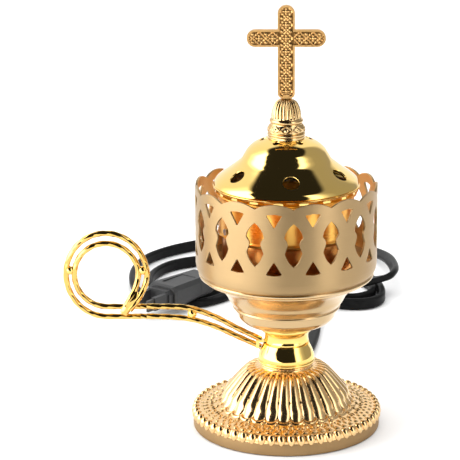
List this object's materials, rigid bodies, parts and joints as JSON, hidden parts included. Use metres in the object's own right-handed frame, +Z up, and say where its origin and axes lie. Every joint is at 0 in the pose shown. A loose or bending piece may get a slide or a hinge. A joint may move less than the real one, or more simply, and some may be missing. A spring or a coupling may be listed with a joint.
{
  "type": "thurible censer",
  "caption": "Electric table censer with a gadrooned foot, looped wire hand grip, pierced gallery, lift-off vented dome, acorn finial and cross, with a flat mains lead and plug.",
  "frame": {"origin": "centre of the flat underside of the foot, on the turning axis of the censer", "axes": "+Z up the turning axis to the top of the cross, -X towards the hand grip's loop, +Y towards the back where the mains lead leaves, -Y the front"},
  "size_m": [0.1697, 0.3498, 0.2],
  "materials": {
    "satin_gilt": "satin, lightly brushed champagne gold plate",
    "bright_gilt": "mirror-polished gold plate",
    "antique_gilt": "satin gold plate with darkened recesses",
    "plain_steel": "zinc-plated",
    "dark_steel": "oxidised sheath",
    "plate_metal": "cast, matt",
    "nickel": "nickel plate",
    "mica": "pressed mica sheet",
    "porcelain": "glazed",
    "sleeving": "glass-fibre sleeving",
    "felt": "pressed felt",
    "black_pvc": "semi-matt moulded PVC"
  },
  "bodies": {
    "censer": {"foot_shell": "satin_gilt", "bead_row": "satin_gilt", "foot_plate": "plain_steel", "foot_pad": "felt", "plate_screws": "plain_steel", "foot_nut": "plain_steel", "tie_rod": "plain_steel", "stem_lower": "bright_gilt", "stem_upper": "bright_gilt", "handle_eye": "bright_gilt", "handle_outer_wire": "bright_gilt", "handle_inner_wire": "bright_gilt", "handle_balls": "bright_gilt", "handle_tip": "bright_gilt", "bowl_shell": "satin_gilt", "gallery": "satin_gilt", "spacer_tube": "plain_steel", "bowl_washer": "plain_steel", "heater_can": "bright_gilt", "can_nut": "plain_steel", "heating_element": "dark_steel", "thermal_fuse": "porcelain", "inner_cup": "bright_gilt", "cup_rivets": "plain_steel", "cup_screws": "plain_steel", "mica_disc": "mica", "heater_plate": "plate_metal", "element_leads": "sleeving", "terminal_block": "porcelain", "terminal_screws": "plain_steel", "lead_clamp": "plain_steel", "clamp_screws": "plain_steel", "lead_tail": "black_pvc", "strain_relief": "black_pvc", "lead": "black_pvc", "plug_body": "black_pvc", "plug_blades": "nickel", "blade_sleeves": "black_pvc"},
    "lid_seat": {"lid_collar": "plain_steel"},
    "lid": {"lid_dome": "bright_gilt", "finial": "bright_gilt", "finial_screw": "plain_steel", "cross_post": "antique_gilt", "cross": "antique_gilt"}
  },
  "joints": [
    {"name": "lid_lift", "type": "slide", "parent": "censer", "child": "lid_seat", "axis": [0, 0, 1], "range_m": [0, 0.06]},
    {"name": "lid_turn", "type": "hinge", "parent": "lid_seat", "child": "lid", "pos_m": [0, 0, 0.1152], "axis": [0, 0, 1], "continuous": true}
  ]
}
